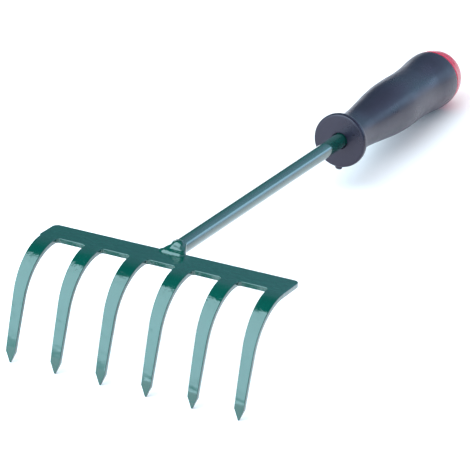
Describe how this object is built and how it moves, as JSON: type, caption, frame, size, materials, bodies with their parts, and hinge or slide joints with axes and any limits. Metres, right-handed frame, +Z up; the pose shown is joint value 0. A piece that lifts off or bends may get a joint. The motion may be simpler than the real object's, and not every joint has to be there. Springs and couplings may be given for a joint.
{
  "type": "hand rake",
  "caption": "Hand rake: a flat steel head with curved pointed tines, welded to a round steel shaft with a black rubber grip, front guard and red domed butt.",
  "frame": {"origin": "floor level, midway across the head and midway along the tool as it lies at rest on its tine tips and the butt of its grip", "axes": "+X across the head, +Y from the tines towards the grip, +Z up from the floor"},
  "size_m": [0.1299, 0.377, 0.0539],
  "materials": {
    "green_enamel": "gloss",
    "black_rubber": "satin",
    "red_plastic": "satin"
  },
  "bodies": {
    "root": {"rake_head": "green_enamel", "shaft": "green_enamel", "weld_bead": "green_enamel", "handle_core": "red_plastic", "rubber_grip": "black_rubber"}
  },
  "joints": []
}
